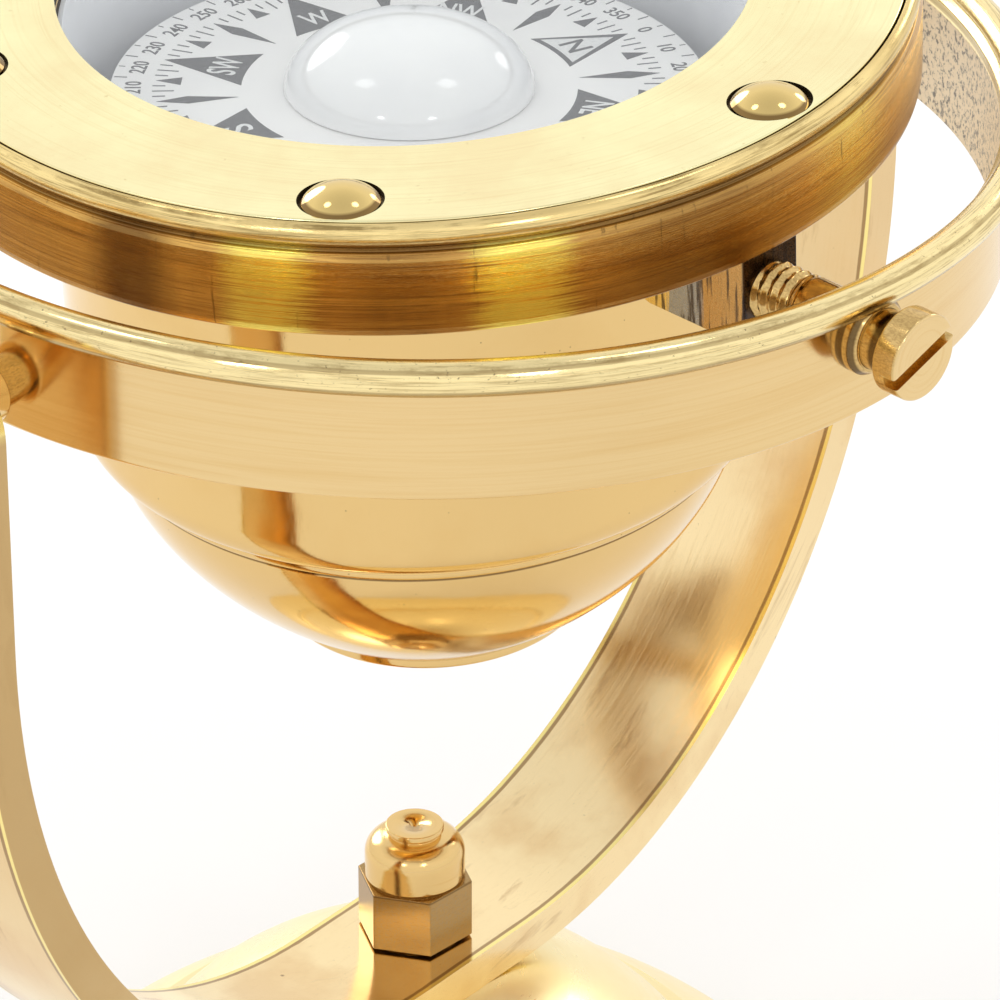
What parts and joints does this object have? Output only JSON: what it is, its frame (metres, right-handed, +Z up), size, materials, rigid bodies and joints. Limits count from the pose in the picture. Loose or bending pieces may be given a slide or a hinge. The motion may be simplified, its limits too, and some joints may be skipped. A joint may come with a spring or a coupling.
{
  "type": "gimballed binnacle compass",
  "caption": "Brass liquid compass: a bowl with a turned bezel and floating card, hung in a gimbal ring between the arms of a U-shaped yoke on a round weighted base.",
  "frame": {"origin": "centre of the base's underside, on the surface it stands on", "axes": "+Z up; +X along the ring's hinge axis, through the two yoke arms"},
  "size_m": [0.1908, 0.168, 0.1972],
  "materials": {
    "polished_brass": "mirror-polished, lightly scratched",
    "brushed_brass": "finely brushed",
    "dark_brass": "turned, warm lacquer",
    "steel": "plain",
    "iron": "as cast",
    "felt": "felt",
    "rubber": "matt",
    "white_paint": "white enamel",
    "card": "printed dial",
    "float_white": "glossy white",
    "glass": "clear"
  },
  "bodies": {
    "base": {"base_felt": "felt", "base_shell": "polished_brass", "base_weight": "iron", "base_washer": "steel", "base_nut": "steel", "base_stud": "steel", "acorn_nut": "brushed_brass", "yoke": "polished_brass", "yoke_screw_right": "brushed_brass", "yoke_screw_left": "brushed_brass", "yoke_collar_right": "brushed_brass", "yoke_collar_left": "brushed_brass"},
    "ring": {"gimbal_ring": "brushed_brass", "ring_bush_front": "brushed_brass", "ring_bush_back": "brushed_brass"},
    "bowl": {"bowl_body": "polished_brass", "bowl_flange": "brushed_brass", "bowl_cup": "polished_brass", "bowl_cap": "polished_brass", "bowl_weight": "iron", "bowl_liner": "white_paint", "pivot_post": "brushed_brass", "lubber_line": "rubber", "gasket": "rubber", "glass": "glass", "bezel_plate": "brushed_brass", "bezel_band": "dark_brass", "bezel_screw_1": "polished_brass", "bezel_screw_2": "polished_brass", "bezel_screw_3": "polished_brass", "bezel_screw_4": "polished_brass", "bezel_screw_5": "polished_brass", "bezel_screw_6": "polished_brass", "pivot_screw_front": "brushed_brass", "pivot_screw_back": "brushed_brass", "pivot_block_front": "dark_brass", "pivot_block_back": "dark_brass"},
    "card": {"card": "card", "float_dome": "float_white", "card_hub": "brushed_brass", "card_magnet_1": "steel", "card_magnet_2": "steel"}
  },
  "joints": [
    {"name": "ring_swing", "type": "hinge", "parent": "base", "child": "ring", "pos_m": [0, 0, 0.1633], "axis": [1, 0, 0], "continuous": true},
    {"name": "bowl_swing", "type": "hinge", "parent": "ring", "child": "bowl", "pos_m": [0, -0.00012, 0.1684], "axis": [-0.0941, -0.9953, -0.0243], "continuous": true},
    {"name": "card_turn", "type": "hinge", "parent": "bowl", "child": "card", "pos_m": [-0.0004, -0.00021, 0.17348], "axis": [0, 0, 1], "continuous": true}
  ]
}
